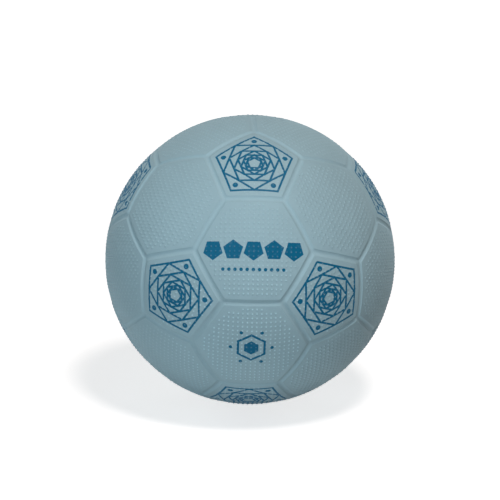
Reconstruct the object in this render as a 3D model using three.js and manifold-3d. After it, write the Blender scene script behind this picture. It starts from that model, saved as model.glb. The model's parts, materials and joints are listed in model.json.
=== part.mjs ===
// A size 5 football: 32 moulded rubber panels over a thread winding, an air bladder and a push-in
// needle valve. Millimetres, +Z up. The origin is the centre of the ball, and X, Y and Z run through
// the middles of six seams that are shared by two hexagons each.
import * as THREE from "three";
import { mergeGeometries, mergeVertices } from "three/addons/utils/BufferGeometryUtils.js";
import Module from "manifold-3d";

// Ball and cover panels
const BALL_DIAMETER = 220; // across the crowns of the panels
const COVER_THICKNESS = 1.6;
const GROOVE_DEPTH = 1.0; // seam groove below the crown
const GROOVE_WIDTH = 4.9; // seam groove from shoulder to shoulder
const SEAM_GAP = 0.3; // between neighbouring panels at the foot of the groove

// Layers under the cover
const LAYER_GAP = 0.3; // between one layer and the next
const WINDING_THICKNESS = 0.6;
const BLADDER_THICKNESS = 0.7;

// Valve plug
const PLUG_STEM_DIAMETER = 5.4;
const PLUG_STEM_LENGTH = 15.5;
const PLUG_TIP_CHAMFER = 0.8;
const PLUG_HEAD_DIAMETER = 8.4;
const PLUG_HEAD_THICKNESS = 1.4;
const PLUG_RECESS = 0.9; // top of the head below the crown
const NEEDLE_PASSAGE_DIAMETER = 1.8;
const NEEDLE_PASSAGE_DEPTH = 13; // from the top of the head
const PLUG_CLEARANCE = 0.3; // all round the plug in the housing

// Valve housing
const NECK_WALL = 1.5; // around the head of the plug
const NECK_RECESS = 0.5; // top of the neck below the crown
const NECK_CLEARANCE = 0.3; // between the neck and the holes it passes through
const HOUSING_TAIL = 1.2; // how far the housing reaches past the tip of the plug
const FLANGE_DIAMETER = 28;
const FLANGE_THICKNESS = 1.4;

// Facets
const PANEL_STEPS = 4; // along each side of a panel
const LAYER_STEPS = 2; // along each side of a panel, on the layers under the cover
const ROUND_STEPS = 36; // around the valve
const DOME_STEPS = 4; // from the neck to the rim of the flange

const wasm = await Module();
wasm.setup();

const ballRadius = BALL_DIAMETER / 2;
const coverInner = ballRadius - COVER_THICKNESS;
const windingOuter = coverInner - LAYER_GAP;
const windingInner = windingOuter - WINDING_THICKNESS;
const bladderOuter = windingInner - LAYER_GAP;
const bladderInner = bladderOuter - BLADDER_THICKNESS;

// Boolean cuts

function toSolid(geometry) {
  const bare = geometry.clone();
  bare.deleteAttribute("normal");
  bare.deleteAttribute("uv");
  const merged = mergeVertices(bare);
  return new wasm.Manifold(
    new wasm.Mesh({
      numProp: 3,
      vertProperties: Float32Array.from(merged.attributes.position.array),
      triVerts: Uint32Array.from(merged.index.array),
    }),
  );
}

function cutFrom(geometry, tool) {
  const mesh = toSolid(geometry).subtract(toSolid(tool)).getMesh();
  const cut = new THREE.BufferGeometry();
  cut.setAttribute("position", new THREE.BufferAttribute(mesh.vertProperties, 3));
  cut.setIndex(new THREE.BufferAttribute(mesh.triVerts, 1));
  return cut;
}

// Layout of the panels: a truncated icosahedron

const GOLDEN = (1 + Math.sqrt(5)) / 2;

// Pentagons lie on the twelve corners of an icosahedron.
function pentagonAxes() {
  const axes = [];
  for (const short of [-1, 1])
    for (const long of [-GOLDEN, GOLDEN]) {
      axes.push(new THREE.Vector3(0, short, long));
      axes.push(new THREE.Vector3(short, long, 0));
      axes.push(new THREE.Vector3(long, 0, short));
    }
  return axes.map((axis) => axis.normalize());
}

const adjacent = (a, b) => a !== b && a.dot(b) > 0;
const sameDirection = (a, b) => a.dot(b) > 1 - Number.EPSILON ** 0.5;

// Corners of the panels lie a third of the way along each edge of the icosahedron.
const cornerNear = (a, b) => a.clone().lerp(b, 1 / 3);

// The corners in turn, anticlockwise seen from outside the ball.
function inTurn(corners, axis) {
  const right = corners[0].clone().projectOnPlane(axis).normalize();
  const up = axis.clone().cross(right);
  const angle = (corner) => Math.atan2(corner.dot(up), corner.dot(right));
  return corners.sort((p, q) => angle(p) - angle(q));
}

function layOutPanels() {
  const pentagons = pentagonAxes();
  const panels = pentagons.map((axis) => {
    const corners = pentagons.filter((b) => adjacent(axis, b)).map((b) => cornerNear(axis, b));
    return { shape: "pentagon", axis, corners: inTurn(corners, axis) };
  });
  pentagons.forEach((a, i) => {
    pentagons.slice(i + 1).forEach((b, j) => {
      for (const c of pentagons.slice(i + j + 2)) {
        if (!adjacent(a, b) || !adjacent(b, c) || !adjacent(c, a)) continue;
        const axis = a.clone().add(b).add(c).normalize();
        const pairs = [[a, b], [b, a], [b, c], [c, b], [c, a], [a, c]];
        const corners = pairs.map(([near, far]) => cornerNear(near, far));
        panels.push({ shape: "hexagon", axis, corners: inTurn(corners, axis) });
      }
    });
  });
  // From the top of the ball down, and round it where panels are level.
  const around = (axis) => Math.atan2(axis.x, -axis.y);
  const height = (axis) => axis.z.toFixed(6);
  return panels.sort(
    (p, q) => height(q.axis) - height(p.axis) || around(p.axis) - around(q.axis),
  );
}

// Faceted patches of the sphere

// Rings of points on the flat panel from its middle out to a side that is drawn in by inset, which is
// measured along the sphere. Each point is then pushed out to the radius.
function patchRings(panel, steps, radius, inset) {
  const flatMiddle = panel.axis.clone().multiplyScalar(panel.corners[0].dot(panel.axis));
  const sideMiddle = panel.corners[0].clone().add(panel.corners[1]);
  const halfAngle = panel.axis.angleTo(sideMiddle);
  const drawnIn = Math.tan(halfAngle - inset / ballRadius) / Math.tan(halfAngle);
  const sides = panel.corners.length;
  const rings = [[panel.axis.clone().multiplyScalar(radius)]];
  for (let ring = 1; ring <= steps; ring++) {
    const points = [];
    for (let i = 0; i < sides * ring; i++) {
      const side = Math.floor(i / ring);
      const along = (i % ring) / ring;
      const onSide = panel.corners[side].clone().lerp(panel.corners[(side + 1) % sides], along);
      points.push(flatMiddle.clone().lerp(onSide, (drawnIn * ring) / steps).setLength(radius));
    }
    rings.push(points);
  }
  return rings;
}

// Triangles between each ring and the next, seen from outside.
function patchTriangles(rings, sides) {
  const triangles = [];
  for (let ring = 1; ring < rings.length; ring++) {
    const outer = rings[ring];
    const inner = rings[ring - 1];
    for (let side = 0; side < sides; side++)
      for (let i = 0; i < ring; i++) {
        const start = side * ring + i;
        const below = side * (ring - 1) + i;
        const inward = inner[below % inner.length];
        triangles.push([outer[start], outer[(start + 1) % outer.length], inward]);
        if (i > 0) triangles.push([outer[start], inward, inner[below - 1]]);
      }
  }
  return triangles;
}

// Two triangles for each step between an upper and a lower loop of as many points.
function stripTriangles(upper, lower) {
  return upper.flatMap((point, i) => {
    const next = (i + 1) % upper.length;
    return [
      [point, lower[i], lower[next]],
      [point, lower[next], upper[next]],
    ];
  });
}

const turnedOver = (triangles) => triangles.map(([a, b, c]) => [a, c, b]);

function geometryOf(triangles) {
  const geometry = new THREE.BufferGeometry().setFromPoints(triangles.flat());
  return mergeVertices(geometry);
}

// Pieces

// A panel has a crown, a sloping flank down to the foot of the groove, a low wall and an underside.
function panelGeometry(panel) {
  const sides = panel.corners.length;
  const crown = patchRings(panel, PANEL_STEPS, ballRadius, GROOVE_WIDTH / 2);
  const foot = patchRings(panel, PANEL_STEPS, ballRadius - GROOVE_DEPTH, SEAM_GAP / 2);
  const underside = patchRings(panel, PANEL_STEPS, coverInner, SEAM_GAP / 2);
  return geometryOf([
    ...patchTriangles(crown, sides),
    ...stripTriangles(crown[PANEL_STEPS], foot[PANEL_STEPS]),
    ...stripTriangles(foot[PANEL_STEPS], underside[PANEL_STEPS]),
    ...turnedOver(patchTriangles(underside, sides)),
  ]);
}

const sphereTriangles = (panels, radius) =>
  panels.flatMap((panel) =>
    patchTriangles(patchRings(panel, LAYER_STEPS, radius, 0), panel.corners.length),
  );

// A hollow layer, with its facets in line with those of the panels.
function layerGeometry(panels, outer, inner) {
  return mergeGeometries([
    geometryOf(sphereTriangles(panels, outer)),
    geometryOf(turnedOver(sphereTriangles(panels, inner))),
  ]);
}

// The largest ball that fits in a faceted layer touches the flats of its facets.
function radiusOfFlats(panels, radius) {
  const facet = new THREE.Triangle();
  const plane = new THREE.Plane();
  const distances = sphereTriangles(panels, radius).map(([a, b, c]) => {
    facet.set(a, b, c).getPlane(plane);
    return Math.abs(plane.constant);
  });
  return Math.min(...distances);
}

const roundPiece = (profile) =>
  new THREE.LatheGeometry(
    profile.map(([radius, height]) => new THREE.Vector2(radius, height)),
    ROUND_STEPS,
  );

// Heights in the valve run outwards along its axis from the centre of the ball.
const headTop = ballRadius - PLUG_RECESS;
const headFoot = headTop - PLUG_HEAD_THICKNESS;
const stemTip = headFoot - PLUG_STEM_LENGTH;
const stemRadius = PLUG_STEM_DIAMETER / 2;
const headRadius = PLUG_HEAD_DIAMETER / 2;
const seatRadius = headRadius + PLUG_CLEARANCE;
const neckRadius = seatRadius + NECK_WALL;
const neckHoleRadius = neckRadius + NECK_CLEARANCE;

// A mushroom with a blind passage for the needle.
function plugGeometry() {
  const passageRadius = NEEDLE_PASSAGE_DIAMETER / 2;
  const passageEnd = headTop - NEEDLE_PASSAGE_DEPTH;
  return roundPiece([
    [0, stemTip],
    [stemRadius - PLUG_TIP_CHAMFER, stemTip],
    [stemRadius, stemTip + PLUG_TIP_CHAMFER],
    [stemRadius, headFoot],
    [headRadius, headFoot],
    [headRadius, headTop],
    [passageRadius, headTop],
    [passageRadius, passageEnd],
    [0, passageEnd],
  ]);
}

// A tube that takes the stem, with a seat for the head at its top and a flange under the bladder. The
// top of the flange is domed, to lie along the bladder's inner wall.
function housingGeometry(panels) {
  const boreRadius = stemRadius + PLUG_CLEARANCE;
  const seat = headFoot - PLUG_CLEARANCE;
  const tail = stemTip - HOUSING_TAIL;
  const neckTop = ballRadius - NECK_RECESS;
  const domeRadius = radiusOfFlats(panels, bladderInner) - LAYER_GAP;
  const domeHeight = (radius) => Math.sqrt(domeRadius ** 2 - radius ** 2);
  const flangeRadius = FLANGE_DIAMETER / 2;
  const dome = Array.from({ length: DOME_STEPS + 1 }, (_, i) => {
    const radius = flangeRadius + ((neckRadius - flangeRadius) * i) / DOME_STEPS;
    return [radius, domeHeight(radius)];
  });
  const flangeFoot = domeHeight(flangeRadius) - FLANGE_THICKNESS;
  return roundPiece([
    [boreRadius, tail],
    [neckRadius, tail],
    [neckRadius, flangeFoot],
    [flangeRadius, flangeFoot],
    ...dome,
    [neckRadius, neckTop],
    [seatRadius, neckTop],
    [seatRadius, seat],
    [boreRadius, seat],
    [boreRadius, tail],
  ]);
}

// Finishes

const rubber = (color, roughness) => new THREE.MeshStandardMaterial({ color, roughness, metalness: 0 });
const coverRubber = () => rubber(0x9fbac3, 0.6);
const windingThread = () => rubber(0xd9d6c8, 0.9);
const bladderRubber = () => rubber(0x2b2a2b, 0.7);
const housingRubber = () => rubber(0x3a3d40, 0.6);
const plugRubber = () => rubber(0x1c1d1f, 0.5);

// Assembly

const named = (name, geometry, material) => {
  geometry.computeVertexNormals();
  const mesh = new THREE.Mesh(geometry, material);
  mesh.name = name;
  return mesh;
};

const ball = new THREE.Group();
const panels = layOutPanels();

// The valve is in the hexagon that leans up and to the back.
const valveAxis = new THREE.Vector3(0, GOLDEN, 1 / GOLDEN).normalize();
const outwards = new THREE.Quaternion().setFromUnitVectors(new THREE.Vector3(0, 1, 0), valveAxis);
const neckHole = new THREE.CylinderGeometry(neckHoleRadius, neckHoleRadius, ballRadius, ROUND_STEPS)
  .translate(0, ballRadius, 0)
  .applyQuaternion(outwards);

const counts = { pentagon: 0, hexagon: 0 };
for (const panel of panels) {
  const geometry = panelGeometry(panel);
  if (sameDirection(panel.axis, valveAxis)) {
    ball.add(named("valve_panel", cutFrom(geometry, neckHole), coverRubber()));
    continue;
  }
  counts[panel.shape] += 1;
  const number = String(counts[panel.shape]).padStart(2, "0");
  ball.add(named(`${panel.shape}_panel_${number}`, geometry, coverRubber()));
}

const winding = layerGeometry(panels, windingOuter, windingInner);
const bladder = layerGeometry(panels, bladderOuter, bladderInner);
ball.add(named("winding_layer", cutFrom(winding, neckHole), windingThread()));
ball.add(named("bladder", cutFrom(bladder, neckHole), bladderRubber()));

const valve = new THREE.Group();
valve.quaternion.copy(outwards);
valve.add(named("valve_housing", housingGeometry(panels), housingRubber()));
valve.add(named("valve_plug", plugGeometry(), plugRubber()));
ball.add(valve);

export default ball;
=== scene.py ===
# A size 5 moulded rubber football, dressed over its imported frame: 32 pimpled cover panels with soft seam
# grooves and blue print, and a push-in needle valve. Metres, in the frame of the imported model.
import json
import math
from itertools import combinations
from typing import NamedTuple

import bpy
import numpy as np
from mathutils import Matrix, Vector
from mathutils.geometry import delaunay_2d_cdt


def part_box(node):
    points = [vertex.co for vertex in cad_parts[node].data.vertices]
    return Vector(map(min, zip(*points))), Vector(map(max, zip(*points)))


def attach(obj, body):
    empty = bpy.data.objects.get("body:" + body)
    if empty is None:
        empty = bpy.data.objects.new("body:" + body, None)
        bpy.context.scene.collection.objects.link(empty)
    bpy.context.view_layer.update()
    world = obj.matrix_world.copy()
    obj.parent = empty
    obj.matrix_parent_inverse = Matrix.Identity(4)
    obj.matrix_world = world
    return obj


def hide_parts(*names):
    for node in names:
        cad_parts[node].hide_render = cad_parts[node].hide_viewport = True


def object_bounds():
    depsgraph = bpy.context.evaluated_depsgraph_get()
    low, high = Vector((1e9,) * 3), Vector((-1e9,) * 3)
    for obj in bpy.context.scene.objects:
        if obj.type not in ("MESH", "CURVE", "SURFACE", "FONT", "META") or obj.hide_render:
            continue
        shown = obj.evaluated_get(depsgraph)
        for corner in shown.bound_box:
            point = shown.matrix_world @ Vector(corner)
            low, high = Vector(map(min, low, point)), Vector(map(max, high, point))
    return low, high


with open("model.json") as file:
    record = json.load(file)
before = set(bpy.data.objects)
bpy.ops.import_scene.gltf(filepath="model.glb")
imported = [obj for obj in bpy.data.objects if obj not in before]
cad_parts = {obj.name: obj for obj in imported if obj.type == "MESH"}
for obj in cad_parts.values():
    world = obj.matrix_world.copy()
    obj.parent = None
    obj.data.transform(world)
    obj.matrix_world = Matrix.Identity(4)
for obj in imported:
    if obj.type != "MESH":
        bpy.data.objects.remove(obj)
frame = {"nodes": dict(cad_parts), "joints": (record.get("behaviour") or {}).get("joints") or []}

MM = 0.001
CAD_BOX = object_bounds()

# Seam grooves
GROOVE_DEPTH = 1.0 * MM
GROOVE_WIDTH = 4.9 * MM  # from shoulder to shoulder
SHOULDER_SOFTNESS = 0.06 * MM  # rounding where the crown turns down into the groove
CORNER_SOFTNESS = 0.3 * MM  # rounding where two sides of a panel meet
HAIRLINE = 0.02 * MM  # between neighbouring panels at the foot of the groove

# Pimples
PIMPLE_PITCH = 3.58 * MM
PIMPLE_DIAMETER = 1.7 * MM
PIMPLE_HEIGHT = 0.4 * MM
FIRST_ROW = 5.2 * MM  # from a seam to the middle of the first row
FIELD_MARGIN = 3.3 * MM  # from a seam to the pimpled field

# Valve
NECK_HOLE_RADIUS = 6.3 * MM
NECK_RADIUS = 6.0 * MM
SEAT_RADIUS = 4.5 * MM
BORE_RADIUS = 3.0 * MM
FLANGE_RADIUS = 14.0 * MM
FLANGE_THICKNESS = 1.4 * MM
SEAT_DEPTH = 2.1 * MM  # from the top of the neck
PLUG_HEAD_RADIUS = 4.2 * MM
PLUG_HEAD_THICKNESS = 1.4 * MM
PLUG_STEM_RADIUS = 2.7 * MM
NEEDLE_RADIUS = 0.9 * MM
NEEDLE_DEPTH = 13.0 * MM
COLLAR_RADIUS = 8.6 * MM  # crest of the raised ring around the valve
COLLAR_WIDTH = 2.6 * MM
COLLAR_HEIGHT = 0.35 * MM
COLLAR_REACH = 10.6 * MM  # outer edge of the smooth ground around the valve
COLLAR_MARGIN = 0.3 * MM  # from there to the pimpled field
MOUTH_ROUNDING = 0.7 * MM  # edge of the hole in the panel

# Fineness of the meshes
POINTS_PER_SIDE = 28  # along each side of a panel
SHOULDER_RINGS = 9
SHOULDER_REACH = 0.6 * MM  # of these rings, to either side of the shoulder
FLANK_RINGS = 7
UNDERSIDE_RINGS = 5
INNERMOST_RING = 2 * MM  # radius on the underside of a panel without a hole
COLLAR_RINGS = 15
TURN_STEPS = 96
ROUNDING_STEPS = 5
DOME_STEPS = 8
SHARP_ANGLE = math.radians(42)
SMALL_VIEW = 0.18  # size of a panel's underside on its bake map, against its top
SMALL_VIEW_CORNER = 0.01  # from the edges of the map

# Finishes, as linear colours
RUBBER_COLOUR = (0.298, 0.45, 0.513, 1.0)
SPECK_COLOUR = (0.07, 0.10, 0.12, 1.0)
INK_COLOUR = (0.0, 0.115, 0.225, 1.0)
THREAD_COLOUR = (0.72, 0.69, 0.60, 1.0)
GLUE_COLOUR = (0.34, 0.30, 0.21, 1.0)
BLADDER_COLOUR = (0.024, 0.023, 0.024, 1.0)
HOUSING_COLOUR = (0.042, 0.047, 0.051, 1.0)
PLUG_COLOUR = (0.012, 0.012, 0.014, 1.0)
DUST_COLOUR = (0.20, 0.20, 0.19, 1.0)
FLOOR_COLOUR = (0.6, 0.6, 0.6, 1.0)

# Light
WHITE = (1.0, 1.0, 1.0)
WARM_TINT = (1.0, 0.917, 0.88)
COOL_TINT = (0.81, 0.932, 1.0)

# Photograph
PHOTO_SIZE = 500  # pixels
BALL_RADIUS_PX = 144.6
BALL_CENTRE_PX = (250.0, 259.4)
CAMERA_DISTANCE = 6.0
CAMERA_AZIMUTH = math.radians(-1.44)
CAMERA_ELEVATION = math.radians(17.2)
CAMERA_ROLL = math.radians(-1.45)


def node_points(name):
    """The points of a CAD node, as an array."""
    vertices = frame["nodes"][name].data.vertices
    values = np.empty(3 * len(vertices), np.float32)
    vertices.foreach_get("co", values)
    return values.reshape(-1, 3).astype(float)


def unit(vectors):
    """Vectors divided by their lengths."""
    return vectors / np.linalg.norm(vectors, axis=-1, keepdims=True)


# Ball, from the frame
PANEL_DISTANCES = np.linalg.norm(node_points("valve_panel"), axis=1)
BALL_RADIUS = PANEL_DISTANCES.max()
COVER_THICKNESS = BALL_RADIUS - PANEL_DISTANCES.min()
VALVE_AXIS = unit(np.array(frame["joints"][0]["axis"], float))


# Layout of the panels: a truncated icosahedron

GOLDEN = (1 + math.sqrt(5)) / 2
ALIGNED = 0.99  # cosine above which two panel axes are the same


def pentagon_axes():
    """The twelve corners of an icosahedron: (0, ±1, ±φ) and its cyclic shifts."""
    corners = [(0, short, long * GOLDEN) for short in (-1, 1) for long in (-1, 1)]
    return unit(np.array([np.roll(corner, shift) for shift in range(3) for corner in corners]))


def hexagon_axes(pentagons):
    """The middles of an icosahedron's faces: the sums of three corners that are all neighbours."""
    nearness = pentagons @ pentagons.T
    faces = [
        three for three in combinations(range(len(pentagons)), 3)
        if all(nearness[a, b] > 0 for a, b in combinations(three, 2))
    ]
    return unit(pentagons[faces].sum(axis=1))


PENTAGONS = pentagon_axes()
HEXAGONS = hexagon_axes(PENTAGONS)
MOULD_POLE = unit(np.array([0, -1, GOLDEN]))
FRONT_AXIS = unit(np.array([0, -GOLDEN, 1 / GOLDEN]))
LOWER_AXIS = FRONT_AXIS * (1, 1, -1)

HEXAGON_HALF_ANGLE = math.atan(1 / GOLDEN ** 2)  # from the middle of a hexagon to its seams
PENTAGON_HALF_ANGLE = math.acos((PENTAGONS @ FRONT_AXIS).max()) - HEXAGON_HALF_ANGLE


def panel_basis(axis, sides):
    """Rows: right, up and out of a panel. Up points at the mould's pole, or the other way round on a
    pentagon that has a corner there, so that a side faces up on every panel."""
    towards = MOULD_POLE
    if abs(axis @ MOULD_POLE) > ALIGNED:
        towards = FRONT_AXIS * np.sign(axis @ MOULD_POLE)
    up = unit(towards - axis * (towards @ axis))
    corner_up = sides == 5 and 0 < axis @ MOULD_POLE < ALIGNED
    up = -up if corner_up else up
    return np.stack([np.cross(up, axis), up, axis])


# Shader maths


class Socket:
    """An output socket. Arithmetic on it adds Math nodes to its tree."""

    def __init__(self, shader, output):
        self.shader = shader
        self.output = output

    def __add__(self, other):
        return self.shader.math("ADD", self, other)

    def __radd__(self, other):
        return self.shader.math("ADD", other, self)

    def __sub__(self, other):
        return self.shader.math("SUBTRACT", self, other)

    def __rsub__(self, other):
        return self.shader.math("SUBTRACT", other, self)

    def __mul__(self, other):
        return self.shader.math("MULTIPLY", self, other)

    def __rmul__(self, other):
        return self.shader.math("MULTIPLY", other, self)

    def __truediv__(self, other):
        return self.shader.math("DIVIDE", self, other)

    def __mod__(self, other):
        return self.shader.math("MODULO", self, other)

    def __pow__(self, other):
        return self.shader.math("POWER", self, other)

    def __abs__(self):
        return self.shader.math("ABSOLUTE", self)

    def __round__(self):
        return self.shader.math("ROUND", self)

    def cos(self):
        return self.shader.math("COSINE", self)

    def larger(self, other):
        return self.shader.math("MAXIMUM", self, other)

    def clamped(self):
        return self.shader.math("ADD", self, 0.0, clamp=True)

    def wrapped(self, low, high):
        return self.shader.math("WRAP", self, high, low)

    def length_with(self, other):
        """Length of the flat vector (self, other)."""
        return (self * self + other * other) ** 0.5

    def turn_to(self, other):
        """Angle of the flat vector (self, other)."""
        return self.shader.math("ARCTAN2", other, self)

    def ramp(self, start, end):
        """0 at start, 1 at end, even in between and level beyond."""
        return ((self - start) / (end - start)).clamped()

    def beside(self, name):
        """Another output of the same node."""
        return Socket(self.shader, self.output.node.outputs[name])


def between(share, start, end):
    """start where share is 0, end where it is 1, and even in between."""
    return start + (end - start) * share


class Shader:
    """A node tree in the making. node() adds any node, and the rest are short names for common ones."""

    def __init__(self, tree):
        self.tree = tree

    def fill(self, node, values):
        """Sets the values or links of a node's sockets."""
        for key, value in values.items():
            if isinstance(value, Socket):
                self.tree.links.new(value.output, node.inputs[key])
            else:
                node.inputs[key].default_value = value

    def node(self, kind, settings=None, values=None, output=0):
        """Adds a node: its settings are set first, then the values or links of its sockets."""
        node = self.tree.nodes.new(kind)
        for name, setting in (settings or {}).items():
            setattr(node, name, setting)
        self.fill(node, values or {})
        return Socket(self, node.outputs[output])

    def math(self, operation, *values, clamp=False):
        settings = {"operation": operation, "use_clamp": clamp}
        return self.node("ShaderNodeMath", settings, dict(enumerate(values)))

    def object_place(self):
        return self.node("ShaderNodeTexCoord", output="Object")

    def attribute(self, name, output):
        return self.node("ShaderNodeAttribute", {"attribute_name": name}, output=output)

    def split(self, vector):
        """The three parts of a vector."""
        first = self.node("ShaderNodeSeparateXYZ", {}, {0: vector})
        return [first.beside(axis) for axis in "XYZ"]

    def along(self, vector, axis):
        """How far a vector reaches along an axis."""
        values = {0: vector, 1: axis}
        return self.node("ShaderNodeVectorMath", {"operation": "DOT_PRODUCT"}, values, "Value")

    def noise(self, place, scale, detail=2.0):
        values = {"Vector": place, "Scale": scale, "Detail": detail}
        return self.node("ShaderNodeTexNoise", {}, values, "Fac")

    def mix(self, factor, first, second):
        """A mix of two colours. The node names its sockets alike for each type, so they go by
        number."""
        return self.node("ShaderNodeMix", {"data_type": "RGBA"}, {0: factor, 6: first, 7: second}, 2)

    def shaded(self, factor, colour):
        """A colour multiplied by a factor."""
        values = {0: colour, "Scale": factor}
        return self.node("ShaderNodeVectorMath", {"operation": "SCALE"}, values)

    def bump(self, height, strength, distance):
        values = {"Height": height, "Strength": strength, "Distance": distance}
        return self.node("ShaderNodeBump", {}, values, "Normal")


def new_material(name, dress):
    """A material whose Principled shader gets the values and links that dress(shader) returns."""
    material = bpy.data.materials.new(name)
    material.use_nodes = True
    shader = Shader(material.node_tree)
    shader.fill(material.node_tree.nodes["Principled BSDF"], dress(shader))
    return material


# Prints. Each gives a mask of the ink from a panel's own flat coordinates, in millimetres.

INK_EDGE = 0.25  # over which the ink fades out
FACING_UP = math.pi / 2


def inked(depth):
    """1 where depth, a distance into the ink, is positive, with an edge INK_EDGE wide."""
    return depth.ramp(-INK_EDGE / 2, INK_EDGE / 2)


def inked_line(offset, width):
    """1 on a line of a width, from the distance to its middle."""
    return inked(width / 2 - abs(offset))


def to_side(x, y, sides, facing):
    """Distance from the middle of a regular polygon towards its nearest side: r·cos(a), with a the
    angle from the nearest direction that a side faces. The first side faces the angle facing."""
    half_turn = math.pi / sides
    angle = (x.turn_to(y) - facing).wrapped(-half_turn, half_turn)
    return x.length_with(y) * angle.cos()


def to_spots(x, y, count, facing, distance):
    """Distance from the nearest of count spots in a circle, the first at the angle facing. It is the
    third side of a triangle, √(r² + d² - 2·d·r·cos(a)), with a the angle from that spot."""
    towards = to_side(x, y, count, facing)
    return (x * x + y * y + distance ** 2 - 2 * distance * towards).larger(0.0) ** 0.5


def rosette(x, y):
    """Nested pentagons for the pentagon panels: the corners of each stand on the middles of the sides
    of the one around it, so its size is cos 36° of that one's and it is turned by 36°. A spot fills
    each outer corner."""
    outermost = 24.5
    levels = 9
    line_width = 1.6
    spot_radius = 2.1
    shrink = math.cos(math.pi / 5)
    by_turn = [to_side(x, y, 5, FACING_UP), to_side(x, y, 5, -FACING_UP)]
    mask = inked(spot_radius - to_spots(x, y, 5, -FACING_UP, outermost))
    for level in range(levels):
        side = outermost * shrink ** level
        mask = mask.larger(inked_line(by_turn[level % 2] - side, line_width))
    return mask


def pentagon_row(x, y):
    """A row of solid pentagons, every other one upside down, over a row of spots, for the front
    hexagon."""
    spacing = 15.4
    count = 5
    side = 6.4
    spot_spacing = 4.6
    spot_count = 11
    spot_radius = 1.35
    spots_below = 14.5
    upside = 1 - 2 * (abs(round(x / spacing)) % 2)
    within = inked_line(x, count * spacing)
    beside = x.wrapped(-spacing / 2, spacing / 2)
    solids = inked(side - to_side(beside, y * upside, 5, FACING_UP)) * within
    spot_within = inked_line(x, spot_count * spot_spacing)
    spot_beside = x.wrapped(-spot_spacing / 2, spot_spacing / 2)
    spots = inked(spot_radius - spot_beside.length_with(y + spots_below)) * spot_within
    return solids.larger(spots)


def hexagon_badge(x, y):
    """A hexagon outline around a solid hexagon, with six spots around them, for the lower hexagon."""
    middle = 2.0
    outline = 10.0
    line_width = 1.8
    solid = 5.4
    spot_distance = 15.6
    spot_radius = 1.4
    y = y - middle
    side = to_side(x, y, 6, 0.0)
    mask = inked_line(side - outline, line_width).larger(inked(solid - side))
    return mask.larger(inked(spot_radius - to_spots(x, y, 6, 0.0, spot_distance)))


# Materials. Scales of noise are per metre, and tones are shares of the rubber's colour.


def dark_specks(shader, place):
    """A mask of specks of the mix: small spots at the middles of Voronoi cells, in about a third of
    them."""
    cells = {"Vector": place, "Scale": 55.0}
    radius = 0.022  # in cells
    edge = 0.008
    chance = 0.62
    chance_edge = 0.05
    distance = shader.node("ShaderNodeTexVoronoi", {}, cells, "Distance")
    draw = shader.split(distance.beside("Color"))[0]
    return distance.ramp(radius, radius - edge) * draw.ramp(chance, chance + chance_edge)


def cover_rubber(name, print_mask=None):
    """Pale grey-blue moulded rubber: clouded in large soft patches, with a few dark specks, a fine matt
    grain and, where print_mask gives it, a thin blue print. The pimple tips carry a painted highlight and
    the grooves painted light, a little paler than the crown. On a patch around the lower hexagon, the
    pimple tips carry a much paler painted highlight and the grooves painted shade."""
    cloud_scale = 22.0
    mottle_scale = 260.0
    grain_scale = 2600.0
    # Patch around the lower hexagon where the pimple tips get a stronger painted highlight and the grooves
    # painted shade
    painted_patch_start = BALL_RADIUS * math.cos(math.radians(40))  # along the axis of the lower hexagon
    painted_patch_full = BALL_RADIUS * math.cos(math.radians(18))
    crown_tone = 0.91
    cloud_tone = 0.16
    mottle_tone = 0.05
    # Painted highlight on the pimple tips, much stronger on the lower patch
    pimple_highlight_tone = 0.13
    patch_pimple_highlight_tone = 0.47
    # Painted light in the grooves, which turns to painted shade on the lower patch
    groove_light_tone = 0.06
    patch_groove_shade_tone = -0.07
    speck_strength = 0.6
    crown_roughness = 0.56
    mottle_roughness = 0.10
    groove_roughness = 0.05
    ink_strength = 1.25  # before the mottle and the pimples take from it
    mottle_loss = 0.45
    pimple_loss = 0.2
    ink_smoothness = 0.06

    def dress(shader):
        place = shader.object_place()
        x, y, groove = shader.split(shader.attribute("place", "Vector"))
        pimple = shader.attribute("pimple", "Fac")
        cloud = shader.noise(place, cloud_scale)
        mottle = shader.noise(place, mottle_scale)
        grain = shader.noise(place, grain_scale)
        # Share of the lower patch, where the painted highlight and painted shade are stronger
        painted_patch = shader.along(place, LOWER_AXIS).ramp(painted_patch_start, painted_patch_full)

        # Painted highlight on the pimple tips, painted light in the grooves and painted shade there on the
        # lower patch
        painted_light_and_shade_tone = between(painted_patch, pimple_highlight_tone, patch_pimple_highlight_tone) * pimple
        painted_light_and_shade_tone = painted_light_and_shade_tone + between(painted_patch, groove_light_tone, patch_groove_shade_tone) * groove
        tone = crown_tone + cloud_tone * cloud + mottle_tone * mottle + painted_light_and_shade_tone
        colour = shader.shaded(tone, RUBBER_COLOUR[:3])
        colour = shader.mix(speck_strength * dark_specks(shader, place), colour, SPECK_COLOUR)
        roughness = crown_roughness + mottle_roughness * mottle + groove_roughness * groove
        if print_mask:
            ink = print_mask(x, y)
            hold = (ink_strength - mottle_loss * mottle - pimple_loss * pimple).clamped()
            colour = shader.mix(ink * hold, colour, INK_COLOUR)
            roughness = roughness - ink_smoothness * ink
        return {
            "Base Color": colour,
            "Roughness": roughness,
            "Specular IOR Level": 0.15,
            "Normal": shader.bump((mottle + grain) / 2, strength=0.25, distance=0.2 * MM),
        }

    return new_material(name, dress)


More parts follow.
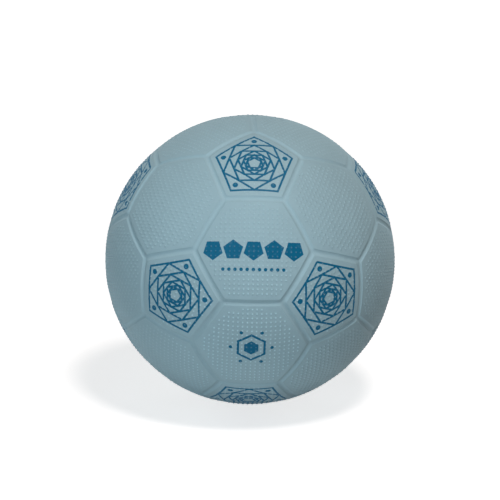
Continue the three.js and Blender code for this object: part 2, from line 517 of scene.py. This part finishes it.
def winding_thread():
    """Wound nylon thread: three layers of fine bands that cross, pale, with glue between them."""
    layer_turns = (0.3, 1.4, 2.5)
    tilt = 0.6  # against the turn
    bands = {"Scale": 160.0, "Distortion": 1.5, "Detail": 1.0}
    glue_roughness = 0.95
    thread_roughness = 0.8

    def dress(shader):
        place = shader.object_place()
        layers = []
        for turn in layer_turns:
            values = {"Vector": place, "Rotation": (turn, tilt * turn, turn)}
            turned_place = shader.node("ShaderNodeMapping", {}, values)
            values = {"Vector": turned_place, **bands}
            layers.append(shader.node("ShaderNodeTexWave", {}, values, "Fac"))
        thread = layers[0].larger(layers[1]).larger(layers[2])
        return {
            "Base Color": shader.mix(thread, GLUE_COLOUR, THREAD_COLOUR),
            "Roughness": between(thread, glue_roughness, thread_roughness),
            "Normal": shader.bump(thread, strength=0.6, distance=0.3 * MM),
        }

    return new_material("winding_thread", dress)


def dark_rubber(name, colour, dust, roughness):
    """Black or dark grey rubber with a fine grain and a bloom of pale dust in soft patches. dust is the
    share of the dust's colour where the bloom is full."""
    patch_scale = 140.0
    grain_scale = 3000.0
    bloom_start = 0.48
    bloom_full = bloom_start + 1 / 3
    bloom_roughness = 0.12
    grain_roughness = 0.06

    def dress(shader):
        place = shader.object_place()
        bloom = shader.noise(place, patch_scale, detail=4.0).ramp(bloom_start, bloom_full)
        grain = shader.noise(place, grain_scale)
        return {
            "Base Color": shader.mix(dust * bloom, colour, DUST_COLOUR),
            "Roughness": roughness + bloom_roughness * bloom + grain_roughness * grain,
            "Normal": shader.bump(grain, strength=0.3, distance=0.2 * MM),
        }

    return new_material(name, dress)


# Surface of a panel, in its own axes


def on_ball(flat):
    """Unit directions of flat points: a point's distance from the middle of its panel becomes an arc of
    the ball, in the same direction from the middle."""
    angle = np.linalg.norm(flat, axis=1) / BALL_RADIUS
    sideways = flat / BALL_RADIUS * np.sinc(angle / math.pi)[:, None]
    return np.column_stack([sideways, np.cos(angle)])


def laid_flat(directions):
    """Flat points of unit directions, the reverse of on_ball."""
    tiny = 1e-12  # keeps the middle from dividing by 0
    sideways = directions[:, :2]
    radius = np.linalg.norm(sideways, axis=1)
    arc = BALL_RADIUS * np.arctan2(radius, directions[:, 2])
    return sideways * (arc / np.maximum(radius, tiny))[:, None]


def seam_distance(flat, sides, half_angle):
    """Distance of flat points from the nearest seam of the panel. Each seam lies on a plane through the
    middle of the ball, so the distance is an arc to that plane. The arcs d to all sides are joined by
    the soft minimum -s·ln Σ exp(-d / s), which rounds the corners."""
    facing = math.pi / 2 + 2 * math.pi * np.arange(sides) / sides
    inward = np.stack([
        -math.cos(half_angle) * np.cos(facing),
        -math.cos(half_angle) * np.sin(facing),
        np.full(sides, math.sin(half_angle)),
    ])
    arcs = BALL_RADIUS * np.arcsin(on_ball(flat) @ inward)
    return -CORNER_SOFTNESS * np.log(np.exp(-arcs / CORNER_SOFTNESS).sum(axis=1))


def groove_depth(distance):
    """Depth below the crown at a distance t from the seam: the parabola D·(1 - (t / w)²) where it is
    positive, joined to the crown by the soft maximum (q + √(q² + e²)) / 2."""
    parabola = GROOVE_DEPTH * (1 - (distance / (GROOVE_WIDTH / 2)) ** 2)
    return (parabola + np.sqrt(parabola ** 2 + SHOULDER_SOFTNESS ** 2)) / 2


def pimple_cell():
    """Flat offsets and height shares of a square cell of 7 by 7 points with a pimple in the middle. A
    ring of the grid, m = max(|a|, |b|), is drawn onto a circle, and the outermost stays square. The
    height falls from the middle as on half an ellipse, √(1 - (radius / foot)²)."""
    outermost = 3
    radius_shares = np.array([0, 0.6, 1.0, 1.0])  # of the rings, from the middle out
    steps = np.arange(-outermost, outermost + 1)
    b, a = np.meshgrid(steps, steps, indexing="ij")
    ring = np.maximum(np.abs(a), np.abs(b))
    share = radius_shares[ring]
    circle_scale = share * PIMPLE_DIAMETER / 2 / np.maximum(np.hypot(a, b), 1)
    square_scale = PIMPLE_PITCH / (2 * outermost)
    scale = np.where(ring == outermost, square_scale, circle_scale)
    return np.stack([a, b], axis=-1) * scale[..., None], np.sqrt(1 - share ** 2)


class Field(NamedTuple):
    """The pimpled field of a panel."""

    flat: np.ndarray
    pimple: np.ndarray  # height share of each point
    quads: np.ndarray
    edges: np.ndarray  # along the outline
    covers: object  # says which flat points lie in the field


def pimple_field(sides, half_angle, hole_radius):
    """Square cells in rows that start at the upper side, as many as lie clear of the seams and of the
    hole. Cells share the points of their edges."""
    corner_reach = BALL_RADIUS * math.atan(math.tan(half_angle) / math.cos(math.pi / sides))
    first_row = BALL_RADIUS * half_angle - FIRST_ROW
    rows = math.ceil((first_row + corner_reach) / PIMPLE_PITCH) + 1
    columns = 2 * math.ceil(corner_reach / PIMPLE_PITCH) + 1
    left = -columns / 2 * PIMPLE_PITCH
    foot = first_row + PIMPLE_PITCH / 2 - rows * PIMPLE_PITCH

    corner_y, corner_x = np.meshgrid(
        foot + PIMPLE_PITCH * np.arange(rows + 1),
        left + PIMPLE_PITCH * np.arange(columns + 1),
        indexing="ij",
    )
    corners = np.column_stack([corner_x.ravel(), corner_y.ravel()])
    clear = seam_distance(corners, sides, half_angle) > FIELD_MARGIN
    clear &= np.linalg.norm(corners, axis=1) > hole_radius
    clear = clear.reshape(corner_x.shape)
    kept = clear[:-1, :-1] & clear[:-1, 1:] & clear[1:, :-1] & clear[1:, 1:]
    row, column = np.nonzero(kept)

    # Points, numbered by their place in the lines of all cells, so that neighbours share them
    offsets, share = pimple_cell()
    across = len(share)
    middle = np.column_stack([column + 0.5, row + 0.5]) * PIMPLE_PITCH + (left, foot)
    points = middle[:, None, None, :] + offsets
    step = np.arange(across)
    line = (across - 1) * row[:, None, None] + step[:, None]
    place = (across - 1) * column[:, None, None] + step
    keys = line * ((across - 1) * columns + 1) + place
    _, first, number = np.unique(keys, return_index=True, return_inverse=True)
    number = number.reshape(keys.shape)
    shares = np.broadcast_to(share, keys.shape)

    # Faces, and the sides of cells that have no neighbour there
    quads = np.stack(
        [number[:, :-1, :-1], number[:, :-1, 1:], number[:, 1:, 1:], number[:, 1:, :-1]], axis=-1
    )
    around = np.pad(kept, 1)
    borders = [
        (around[row + 1, column], number[:, :, 0]),
        (around[row + 1, column + 2], number[:, :, -1]),
        (around[row, column + 1], number[:, 0, :]),
        (around[row + 2, column + 1], number[:, -1, :]),
    ]
    edges = [
        np.stack([side[~shared, :-1], side[~shared, 1:]], axis=-1).reshape(-1, 2)
        for shared, side in borders
    ]

    def covers(flat):
        cell = np.floor((flat - (left, foot)) / PIMPLE_PITCH).astype(int)
        inside = ((cell >= 0) & (cell < (columns, rows))).all(axis=1)
        cell = np.where(inside[:, None], cell, 0)
        return inside & kept[cell[:, 1], cell[:, 0]]

    return Field(
        points.reshape(-1, 2)[first],
        shares.reshape(-1)[first],
        quads.reshape(-1, 4),
        np.concatenate(edges),
        covers,
    )


def fill_between(flat, edges, covered):
    """Triangles that fill the flat space inside the outlines, but for those whose middle is covered: a
    Delaunay triangulation that keeps the edges. All turn anticlockwise."""
    fill_hull = 0  # gives all triangles of the outer outline
    tolerance = 1e-6
    found = delaunay_2d_cdt((flat / MM).tolist(), edges.tolist(), [], fill_hull, tolerance)
    _, _, faces, given_points, _, _ = found
    triangles = np.array(given_points).reshape(-1)[np.array(faces)]
    triangles = triangles[~covered(flat[triangles].mean(axis=1))]
    first, second, third = np.moveaxis(flat[triangles], 1, 0)
    one = second - first
    other = third - first
    clockwise = one[:, 0] * other[:, 1] < one[:, 1] * other[:, 0]
    triangles[clockwise] = triangles[clockwise, ::-1]
    return triangles


def side_ring(sides, half_angle, inset):
    """Flat points round a panel at an inset from its seams: evenly along each side of a regular polygon
    in the plane that touches the ball, seen from the middle of the ball."""
    turn = math.pi / 2 + math.pi / sides * (2 * np.arange(sides) - 1)
    corner = math.tan(half_angle - inset / BALL_RADIUS) / math.cos(math.pi / sides)
    corners = corner * np.column_stack([np.cos(turn), np.sin(turn)])
    along = (np.arange(POINTS_PER_SIDE) / POINTS_PER_SIDE)[:, None]
    points = corners[:, None] * (1 - along) + np.roll(corners, -1, axis=0)[:, None] * along
    points = points.reshape(-1, 2)
    return laid_flat(unit(np.column_stack([points, np.ones(len(points))])))


def round_ring(sides, radius):
    """Flat points on a circle, as many as a side ring has and in line with its corners."""
    count = sides * POINTS_PER_SIDE
    turn = math.pi / 2 - math.pi / sides + 2 * math.pi * np.arange(count) / count
    return radius * np.column_stack([np.cos(turn), np.sin(turn)])


def collar_height(radius):
    """Height around the valve's hole: a raised ring, whose section is a cosine bell, and an edge that
    falls off as a parabola."""
    across = np.clip((radius - COLLAR_RADIUS) / COLLAR_WIDTH, -0.5, 0.5)
    bell = COLLAR_HEIGHT * np.cos(math.pi * across) ** 2
    edge = np.clip(1 - (radius - NECK_HOLE_RADIUS) / MOUTH_ROUNDING, 0, 1)
    return bell - MOUTH_ROUNDING / 2 * edge ** 2


class Rings(NamedTuple):
    """The rings of points around a panel, in their order from the shoulder on."""

    flat: list
    height: list
    wall_foot: int  # which ring stands at the foot of the wall
    inner: int  # which ring ends the underside


def panel_rings(sides, half_angle, with_hole):
    """Rings over the shoulder, down the groove and the wall, and in under the panel: each ring of the
    underside is a mix of the side ring at the wall and a circle. A panel without a hole ends in one
    point at its middle, and one with the valve's hole goes up through it and out over the collar."""
    shoulder = GROOVE_WIDTH / 2
    flank_start = shoulder - SHOULDER_REACH
    insets = np.concatenate([
        np.linspace(shoulder + SHOULDER_REACH, flank_start, SHOULDER_RINGS),
        np.linspace(flank_start, HAIRLINE / 2, FLANK_RINGS)[1:],
    ])
    flat = [side_ring(sides, half_angle, inset) for inset in insets]
    height = [-groove_depth(seam_distance(ring, sides, half_angle)) for ring in flat]
    wall_foot = len(flat)

    outer = flat[-1]
    circle = round_ring(sides, NECK_HOLE_RADIUS if with_hole else INNERMOST_RING)
    for share in np.linspace(0, 1, UNDERSIDE_RINGS):
        flat.append(outer * (1 - share) + circle * share)
        height.append(np.full(len(circle), -COVER_THICKNESS))
    inner = len(flat) - 1

    if with_hole:
        for radius in np.linspace(NECK_HOLE_RADIUS, COLLAR_REACH, COLLAR_RINGS):
            flat.append(round_ring(sides, radius))
            height.append(np.full(len(circle), collar_height(radius)))
    else:
        flat.append(np.zeros((1, 2)))
        height.append(np.array([-COVER_THICKNESS]))
    return Rings(flat, height, wall_foot, inner)


def bake_views(flat, wall_ring, mouth_ring):
    """Places on the bake map of a panel's points, seen from above and from below. The view from above
    fills the map: the foot of the wall is laid out around it, and the foot of the valve's hole inside
    the hole. The view from below is a small copy in the corner that the panel leaves free."""
    reach = np.linalg.norm(flat, axis=1).max()
    margin = 2 * COVER_THICKNESS
    from_above = flat.copy()
    from_above[wall_ring] *= 1 + COVER_THICKNESS / reach
    from_above[mouth_ring] *= 1 - COVER_THICKNESS / NECK_HOLE_RADIUS
    across = 2 * (reach + margin)
    from_below = SMALL_VIEW * (0.5 + flat * (-1, 1) / across)
    return 0.5 + from_above / across, SMALL_VIEW_CORNER + from_below


class Template(NamedTuple):
    """A panel in its own axes."""

    points: np.ndarray
    faces: list
    place: np.ndarray  # flat place in millimetres, and share of the groove's depth
    pimple: np.ndarray
    bake_map: np.ndarray  # place on the bake map of each corner of each face


def panel_template(sides, half_angle, with_hole=False):
    """A closed panel: the pimpled field, an apron of triangles around it, and strips of quads from ring
    to ring. A point stands on the ball's radius plus its height, in the direction of its flat place."""
    hole_radius = COLLAR_REACH if with_hole else 0.0
    field = pimple_field(sides, half_angle, hole_radius + COLLAR_MARGIN if with_hole else 0.0)
    rings = panel_rings(sides, half_angle, with_hole)
    flat = np.concatenate([field.flat, *rings.flat])

    # Strips
    count = sides * POINTS_PER_SIDE
    step = np.arange(count)
    ahead = (step + 1) % count
    starts = len(field.flat) + count * np.arange(len(rings.flat))
    full_rings = starts if with_hole else starts[:-1]
    before, after = full_rings[:-1, None], full_rings[1:, None]
    strips = np.stack([before + step, after + step, after + ahead, before + ahead], axis=-1)
    upper_strip = strips[:rings.wall_foot].reshape(-1, 4)
    under_strip = strips[rings.wall_foot:rings.inner].reshape(-1, 4)
    hole_strip = strips[rings.inner:].reshape(-1, 4)

    # Apron
    ring_edges = np.stack([step, ahead], axis=-1)
    apron_edges = [field.edges, ring_edges + starts[0]]
    if with_hole:
        apron_edges.append(ring_edges + starts[-1])
    apron_edges = np.concatenate(apron_edges)
    used = np.unique(apron_edges)

    def covered(points):
        return field.covers(points) | (np.linalg.norm(points, axis=1) < hole_radius)

    apron = used[fill_between(flat[used], np.searchsorted(used, apron_edges), covered)]

    # Faces and their places on the bake map
    above = [field.quads, upper_strip, hole_strip, apron]
    below = [under_strip]
    if not with_hole:
        last_ring = starts[rings.inner]
        middle = np.full(count, starts[-1])
        below.append(np.column_stack([last_ring + step, middle, last_ring + ahead]))
    wall_ring = starts[rings.wall_foot] + step
    mouth_ring = starts[rings.inner] + step
    from_above, from_below = bake_views(flat, wall_ring, mouth_ring)
    bake_map = [from_above[group].reshape(-1, 2) for group in above]
    bake_map += [from_below[group].reshape(-1, 2) for group in below]

    # Points and what the materials read from them
    height = np.concatenate([PIMPLE_HEIGHT * field.pimple, *rings.height])
    groove = np.clip(-height / GROOVE_DEPTH, 0, 1)
    pimple = np.concatenate([field.pimple, np.zeros(len(flat) - len(field.flat))])
    points = on_ball(flat) * (BALL_RADIUS + height)[:, None]
    place = np.column_stack([flat / MM, groove])
    return Template(points, above + below, place, pimple, np.concatenate(bake_map))


def new_mesh(name, points, faces):
    """A smooth mesh from an array of points and arrays of faces. All faces of one array have the same
    number of corners."""
    mesh = bpy.data.meshes.new(name)
    corners = np.concatenate([group.ravel() for group in faces]).astype(np.int32)
    counts = np.concatenate([np.full(len(group), group.shape[1]) for group in faces])
    starts = (np.cumsum(counts) - counts).astype(np.int32)
    mesh.vertices.add(len(points))
    mesh.vertices.foreach_set("co", points.ravel().astype(np.float32))
    mesh.loops.add(len(corners))
    mesh.loops.foreach_set("vertex_index", corners)
    mesh.polygons.add(len(counts))
    mesh.polygons.foreach_set("loop_start", starts)
    mesh.update(calc_edges=True)
    mesh.validate()
    mesh.shade_smooth()
    mesh.set_sharp_from_angle(angle=SHARP_ANGLE)
    return mesh


def new_piece(name, mesh, material, body, node, slot):
    """A piece that rides on a body and stands for a CAD node."""
    piece = bpy.data.objects.new(name, mesh)
    bpy.context.scene.collection.objects.link(piece)
    mesh.materials.append(material)
    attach(piece, body)
    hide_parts(node)


def panel_piece(node, template, axis, sides, material, slot):
    """A cover panel, turned from its own axes into the frame."""
    name = node.replace("panel", "cover")
    mesh = new_mesh(name, template.points @ panel_basis(axis, sides), template.faces)
    bake_map = mesh.uv_layers.new(name="OFBake")
    bake_map.data.foreach_set("uv", template.bake_map.ravel().astype(np.float32))
    place = mesh.attributes.new("place", "FLOAT_VECTOR", "POINT")
    place.data.foreach_set("vector", template.place.ravel().astype(np.float32))
    pimple = mesh.attributes.new("pimple", "FLOAT", "POINT")
    pimple.data.foreach_set("value", template.pimple.astype(np.float32))
    new_piece(name, mesh, material, "ball", node, slot)


# Valve


def rounded(corners):
    """A profile whose corners are eased. Corners are (radius, height, rounding). Each inner corner c
    becomes the curve (1-t)²·p + 2t(1-t)·c + t²·q between the points p and q that lie its rounding away
    from it on its two sides."""
    corners = np.array(corners, float)
    places = corners[:, :2]
    middle = places[1:-1]
    rounding = corners[1:-1, 2:]
    start = middle + unit(places[:-2] - middle) * rounding
    end = middle + unit(places[2:] - middle) * rounding
    t = np.linspace(0, 1, ROUNDING_STEPS)[None, :, None]
    curves = (1 - t) ** 2 * start[:, None] + 2 * t * (1 - t) * middle[:, None] + t ** 2 * end[:, None]
    return np.concatenate([places[:1], curves.reshape(-1, 2), places[-1:]])


def turned(name, profile, closed=False):
    """A profile of (radius, height) points carried round the valve's axis. An open profile starts and
    ends on the axis, and a closed one comes back to its first point. It runs anticlockwise, with the
    radius to the right and the height up, so that faces point outwards."""
    body = profile if closed else profile[1:-1]
    radius, height = body[:, 0][:, None], body[:, 1][:, None]
    turn = 2 * math.pi * np.arange(TURN_STEPS) / TURN_STEPS
    points = np.stack([radius * np.cos(turn), radius * np.sin(turn), height + 0 * turn], axis=-1)
    points = points.reshape(-1, 3)
    step = np.arange(TURN_STEPS)
    ahead = (step + 1) % TURN_STEPS
    starts = TURN_STEPS * np.arange(len(body))[:, None]
    before = starts if closed else starts[:-1]
    after = np.roll(starts, -1, axis=0) if closed else starts[1:]
    quads = np.stack([before + step, before + ahead, after + ahead, after + step], axis=-1)
    faces = [quads.reshape(-1, 4)]
    if not closed:
        low = np.full(TURN_STEPS, len(points))
        last = starts[-1, 0]
        faces.append(np.column_stack([low, ahead, step]))
        faces.append(np.column_stack([low + 1, last + step, last + ahead]))
        ends = np.array([[0, 0, profile[0, 1]], [0, 0, profile[-1, 1]]])
        points = np.concatenate([points, ends])
    return new_mesh(name, points @ panel_basis(VALVE_AXIS, 6), faces)


def along_valve(node):
    """Lowest and highest point of a node along the valve's axis."""
    heights = node_points(node) @ VALVE_AXIS
    return heights.min(), heights.max()


def plug_mesh():
    """The valve plug: a stem with three sealing beads, and a flat head with a countersunk needle
    passage."""
    tip, top = along_valve("valve_plug")
    foot = top - PLUG_HEAD_THICKNESS
    chamfer = 0.8 * MM
    bead_places = (0.3, 0.5, 0.7)  # along the stem
    bead_height = 0.18 * MM
    bead_length = 1.2 * MM
    rim = 1.1 * MM
    dish = 0.15 * MM
    dish_slope = 0.4 * MM
    countersink = 0.9 * MM
    soft = 0.3 * MM  # roundings
    bead_soft = 0.25 * MM
    head_soft = 0.2 * MM
    edge_soft = 0.35 * MM
    dish_soft = 0.15 * MM
    beads = []
    for share in bead_places:
        middle = tip + share * (foot - tip)
        beads += [
            (PLUG_STEM_RADIUS, middle - bead_length / 2, bead_soft),
            (PLUG_STEM_RADIUS + bead_height, middle, bead_soft),
            (PLUG_STEM_RADIUS, middle + bead_length / 2, bead_soft),
        ]
    return turned("valve_plug_moulded", rounded([
        (0, tip, 0),
        (PLUG_STEM_RADIUS - chamfer, tip, soft),
        (PLUG_STEM_RADIUS, tip + chamfer, soft),
        *beads,
        (PLUG_STEM_RADIUS, foot, head_soft),
        (PLUG_HEAD_RADIUS, foot, head_soft),
        (PLUG_HEAD_RADIUS, top, edge_soft),
        (PLUG_HEAD_RADIUS - rim, top, dish_soft),
        (PLUG_HEAD_RADIUS - rim - dish_slope, top - dish, dish_soft),
        (NEEDLE_RADIUS + countersink, top - dish, soft),
        (NEEDLE_RADIUS, top - dish - countersink, soft),
        (NEEDLE_RADIUS, top - NEEDLE_DEPTH, soft),
        (0, top - NEEDLE_DEPTH - NEEDLE_RADIUS, 0),
    ]))


def housing_mesh():
    """The valve housing: a tube for the stem, a seat for the plug's head with a rounded lip around it,
    and a flange whose top is domed to the inside of the bladder, on the sphere √(R² - r²) through its
    rim."""
    tail, top = along_valve("valve_housing")
    points = node_points("valve_housing")
    height = points @ VALVE_AXIS
    radius = np.linalg.norm(points - height[:, None] * VALVE_AXIS, axis=1)
    rim_tolerance = 0.1 * MM
    rim_top = height[radius > FLANGE_RADIUS - rim_tolerance].max()
    rim_foot = rim_top - FLANGE_THICKNESS
    seat = top - SEAT_DEPTH
    profile_start = tail + 2 * MM  # on the wall of the bore
    profile_end = tail + 4 * MM
    bore_soft = 0.3 * MM  # roundings
    tail_soft = 0.6 * MM
    flange_soft = 0.4 * MM
    dome_soft = 0.1 * MM
    neck_soft = 0.5 * MM
    lip_soft = 0.4 * MM
    seat_soft = 0.2 * MM

    dome = np.linspace(FLANGE_RADIUS, NECK_RADIUS, DOME_STEPS)[1:]
    dome_height = np.sqrt(math.hypot(FLANGE_RADIUS, rim_top) ** 2 - dome ** 2)
    dome_points = np.column_stack([dome, dome_height, np.full(len(dome), dome_soft)])
    return turned("valve_housing_moulded", rounded([
        (BORE_RADIUS, profile_start, 0),
        (BORE_RADIUS, tail, bore_soft),
        (NECK_RADIUS, tail, tail_soft),
        (NECK_RADIUS, rim_foot, tail_soft),
        (FLANGE_RADIUS, rim_foot, flange_soft),
        (FLANGE_RADIUS, rim_top, flange_soft),
        *dome_points,
        (NECK_RADIUS, top, neck_soft),
        (SEAT_RADIUS, top, lip_soft),
        (SEAT_RADIUS, seat, seat_soft),
        (BORE_RADIUS, seat, seat_soft),
        (BORE_RADIUS, profile_end, 0),
    ]), closed=True)


# Making of the pieces


def nearest_axis(node, axes):
    """The panel axis that points at the middle of a node."""
    low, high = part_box(node)
    middle = np.array((low + high) / 2)
    return axes[np.argmax(axes @ middle)]


def make_cover():
    """A piece for each panel of the frame, from the template of its kind."""
    hexagon = panel_template(6, HEXAGON_HALF_ANGLE)
    pentagon = panel_template(5, PENTAGON_HALF_ANGLE)
    valve_hexagon = panel_template(6, HEXAGON_HALF_ANGLE, with_hole=True)
    plain = cover_rubber("hexagon_rubber_plain")
    front = cover_rubber("hexagon_rubber_front", pentagon_row)
    lower = cover_rubber("hexagon_rubber_lower", hexagon_badge)
    printed = cover_rubber("pentagon_rubber_printed", rosette)
    for node in sorted(frame["nodes"]):
        if node.startswith("pentagon_panel"):
            axis = nearest_axis(node, PENTAGONS)
            panel_piece(node, pentagon, axis, 5, printed, "pentagon_rubber")
        elif node.startswith("hexagon_panel"):
            axis = nearest_axis(node, HEXAGONS)
            material = plain
            if axis @ FRONT_AXIS > ALIGNED:
                material = front
            if axis @ LOWER_AXIS > ALIGNED:
                material = lower
            panel_piece(node, hexagon, axis, 6, material, "hexagon_rubber")
        elif node == "valve_panel":
            panel_piece(node, valve_hexagon, VALVE_AXIS, 6, plain, "hexagon_rubber")


def make_valve():
    """The housing, which stays in the ball, and the plug, which slides out of it."""
    housing = dark_rubber("housing_rubber", HOUSING_COLOUR, dust=0.25, roughness=0.5)
    plug = dark_rubber("plug_rubber", PLUG_COLOUR, dust=0.12, roughness=0.38)
    new_piece("valve_housing_moulded", housing_mesh(), housing, "ball", "valve_housing", "housing_rubber")
    new_piece("valve_plug_moulded", plug_mesh(), plug, "valve_plug", "valve_plug", "plug_rubber")


def dress_layers():
    """The layers under the cover keep their CAD shape and get their finish."""
    bladder = dark_rubber("bladder_rubber", BLADDER_COLOUR, dust=0.7, roughness=0.6)
    for node, material in (("winding_layer", winding_thread()), ("bladder", bladder)):
        materials = frame["nodes"][node].data.materials
        materials.clear()
        materials.append(material)


# Stage


def seen_directly(shader):
    """1 for camera, glossy and transmission rays."""
    camera = shader.node("ShaderNodeLightPath", output="Is Camera Ray")
    return camera.larger(camera.beside("Is Glossy Ray")).larger(camera.beside("Is Transmission Ray"))


def make_floor(height):
    """A wide pale floor. Seen directly, it glows: a little under white around the ball, where its own
    shade makes up the rest and shows the ball's shadow, and white further out, where little light falls
    on it."""
    reach = 6.0
    near_glow = 0.72
    near = 0.5
    far = 2.0
    corners = reach * np.array([[-1.0, -1.0], [1.0, -1.0], [1.0, 1.0], [-1.0, 1.0]])
    points = np.column_stack([corners, np.full(4, height)])
    mesh = new_mesh("floor", points, [np.array([[0, 1, 2, 3]])])
    floor = bpy.data.objects.new("floor", mesh)
    bpy.context.scene.collection.objects.link(floor)

    def dress(shader):
        x, y, _ = shader.split(shader.object_place())
        glow = between(x.length_with(y).ramp(near, far), near_glow, 1)
        return {
            "Base Color": FLOOR_COLOUR,
            "Roughness": 1.0,
            "Specular IOR Level": 0.0,
            "Emission Color": shader.shaded(glow, WHITE),
            "Emission Strength": seen_directly(shader),
        }

    mesh.materials.append(new_material("floor_white", dress))


def make_world():
    """White for what looks at it directly, and a dim even light for the rest."""
    ambient = 0.02
    world = bpy.data.worlds.new("studio")
    world.use_nodes = True
    shader = Shader(world.node_tree)
    strength = between(seen_directly(shader), ambient, 1)
    shader.fill(world.node_tree.nodes["Background"], {"Color": (*WHITE, 1.0), "Strength": strength})
    bpy.context.scene.world = world


def view_direction(azimuth, elevation):
    """From the ball to a viewer. Azimuth 0 stands on -Y, and turns towards +X."""
    level = math.cos(elevation)
    return Vector((level * math.sin(azimuth), -level * math.cos(azimuth), math.sin(elevation)))


def make_lamp(name, azimuth, elevation, size, level, tint=WHITE, gloss=True):
    """A square soft box that faces the ball. A matt surface that faces it shows level times the lamp's
    tint times its own colour. Without gloss, it leaves no highlight."""
    distance = 2.2
    data = bpy.data.lights.new(name, "AREA")
    data.size = size
    data.color = tint
    data.energy = level * math.pi ** 2 * distance ** 2
    lamp = bpy.data.objects.new(name, data)
    lamp.visible_camera = False
    lamp.visible_glossy = gloss
    bpy.context.scene.collection.objects.link(lamp)
    direction = view_direction(math.radians(azimuth), math.radians(elevation))
    lamp.location = direction * distance
    lamp.rotation_euler = direction.to_track_quat("Z", "Y").to_euler()


def make_camera():
    """The photograph's view: a long lens, aimed a little above the ball so that the ball's middle falls
    on its pixel. The lens makes the ball's outline, the cone R / √(D² - R²), as wide as in the
    photograph."""
    backward = view_direction(CAMERA_AZIMUTH, CAMERA_ELEVATION)
    level_right = Vector((math.cos(CAMERA_AZIMUTH), math.sin(CAMERA_AZIMUTH), 0))
    level_up = backward.cross(level_right)
    right = level_right * math.cos(CAMERA_ROLL) - level_up * math.sin(CAMERA_ROLL)
    up = level_up * math.cos(CAMERA_ROLL) + level_right * math.sin(CAMERA_ROLL)
    pixel = BALL_RADIUS / BALL_RADIUS_PX
    rightwards = (BALL_CENTRE_PX[0] - PHOTO_SIZE / 2) * pixel
    downwards = (BALL_CENTRE_PX[1] - PHOTO_SIZE / 2) * pixel
    aim = up * downwards - right * rightwards
    outline = BALL_RADIUS / math.sqrt(CAMERA_DISTANCE ** 2 - BALL_RADIUS ** 2)

    data = bpy.data.cameras.new("camera")
    data.lens = data.sensor_width * BALL_RADIUS_PX / outline / PHOTO_SIZE
    camera = bpy.data.objects.new("camera", data)
    bpy.context.scene.collection.objects.link(camera)
    axes = Matrix((right, up, backward)).transposed()
    camera.matrix_world = Matrix.Translation(aim + backward * CAMERA_DISTANCE) @ axes.to_4x4()
    bpy.context.scene.camera = camera


make_camera()
make_cover()
make_valve()
dress_layers()
VISUAL_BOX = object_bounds()
make_floor(VISUAL_BOX[0][2])
make_world()
make_lamp("overhead_box", azimuth=25, elevation=68, size=0.5, level=0.69, tint=WARM_TINT)
make_lamp("front_box", azimuth=-25, elevation=6, size=0.7, level=0.385, tint=COOL_TINT)
make_lamp("back_left_box", azimuth=-148, elevation=6, size=0.7, level=0.22, gloss=False)
make_lamp("back_right_box", azimuth=148, elevation=6, size=0.7, level=0.22, gloss=False)
bpy.context.scene.view_settings.view_transform = "Standard"

boxes = {"cad": CAD_BOX, "visual": VISUAL_BOX}
{name: [list(corner) for corner in box] for name, box in boxes.items()}
